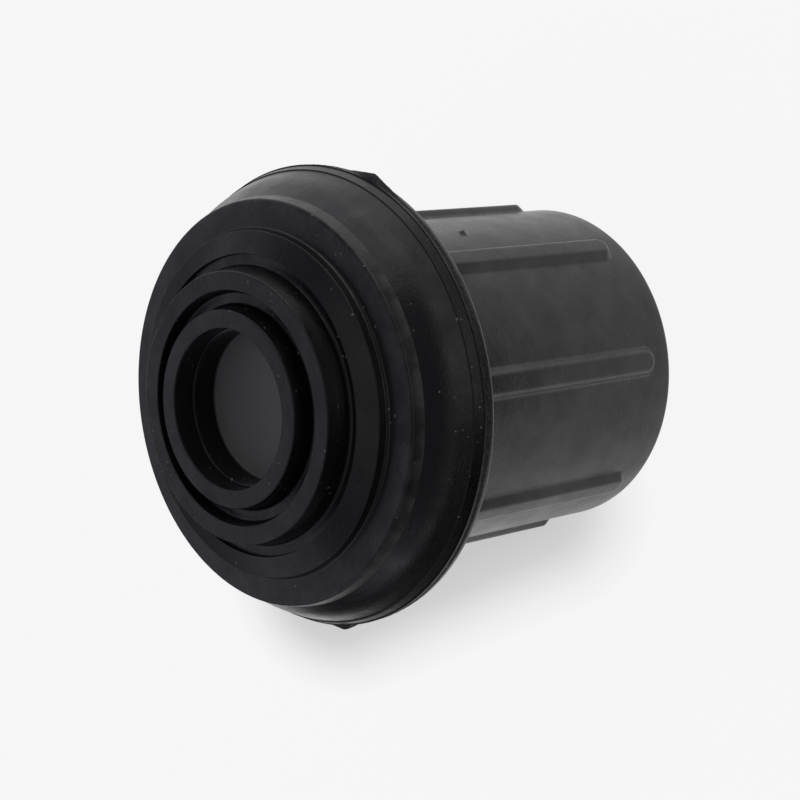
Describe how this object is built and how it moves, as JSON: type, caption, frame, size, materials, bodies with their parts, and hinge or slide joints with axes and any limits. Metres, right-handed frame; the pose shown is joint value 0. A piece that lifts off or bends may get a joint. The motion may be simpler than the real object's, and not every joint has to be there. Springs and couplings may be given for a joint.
{
  "type": "rubber ferrule",
  "caption": "Black rubber ferrule with a stepped ring tread, a wide flange and a ribbed sleeve with a blind bore that pushes over the end of a round tube.",
  "frame": {"origin": "centre of the mouth's end face, on the floor, on the axis of the bore", "axes": "+Z along the axis from the mouth to the tread, with a rib on +X and one on -Y, the side that the picture shows"},
  "size_m": [0.0431, 0.0426, 0.0439],
  "materials": {
    "rubber_black": "satin, slightly dusty moulded rubber"
  },
  "bodies": {
    "root": {"ferrule": "rubber_black"}
  },
  "joints": []
}
